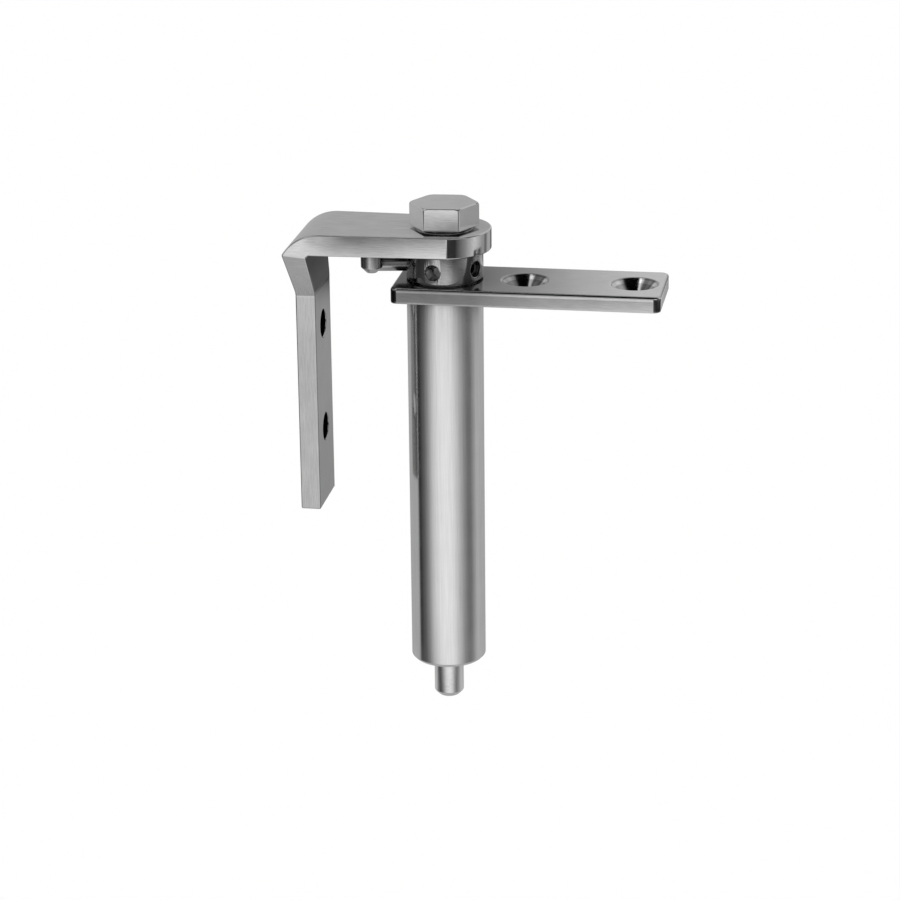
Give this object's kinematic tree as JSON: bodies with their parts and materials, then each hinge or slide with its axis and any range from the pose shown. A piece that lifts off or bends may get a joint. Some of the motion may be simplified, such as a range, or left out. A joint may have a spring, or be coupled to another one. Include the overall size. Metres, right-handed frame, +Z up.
{
  "type": "offset pivot hinge",
  "caption": "Spring door hinge: cranked jamb arm with a stop stud, hexagon-headed spindle, pinned tension collar, screw plate and a long spring barrel for the door.",
  "frame": {"origin": "on the pivot axis, at the underside of the door plate", "axes": "+Z up the pivot axis, +X along the door plate towards its toe, the jamb arm towards -X"},
  "size_m": [0.111, 0.03, 0.1566],
  "materials": {
    "satin_steel": "satin",
    "bright_steel": "turned, bright",
    "dark_steel": "dark, oiled",
    "spring_steel": "oil-tempered",
    "bronze": "sintered bronze"
  },
  "bodies": {
    "jamb_arm": {"offset_arm": "satin_steel", "stop_stud": "bright_steel"},
    "door_leaf": {"door_plate": "satin_steel", "spring_barrel": "satin_steel", "upper_bush": "bronze", "thrust_washer": "dark_steel", "lower_plug": "satin_steel", "lower_bush": "bronze", "torsion_spring": "spring_steel"},
    "tension_core": {"hex_spindle": "bright_steel", "arm_washer": "dark_steel", "tension_collar": "satin_steel", "collar_set_screw": "dark_steel", "spring_anchor": "bright_steel", "anchor_pin": "bright_steel"},
    "stop_pin": {"tension_pin": "bright_steel"}
  },
  "joints": [
    {"name": "door_swing", "type": "hinge", "parent": "jamb_arm", "child": "door_leaf", "pos_m": [0, 0, 0], "axis": [0, 0, 1], "range_deg": [0, 115], "stiffness_Nm_per_rad": 0.78, "deforming": ["torsion_spring"]},
    {"name": "collar_wind", "type": "hinge", "parent": "jamb_arm", "child": "tension_core", "pos_m": [0, 0, 0], "axis": [0, 0, 1], "range_deg": [-330, 0], "stiffness_Nm_per_rad": 0.78, "deforming": ["torsion_spring"]},
    {"name": "pin_pull", "type": "slide", "parent": "tension_core", "child": "stop_pin", "axis": [-0.9877, -0.1564, 0], "range_m": [0, 0.012]}
  ]
}
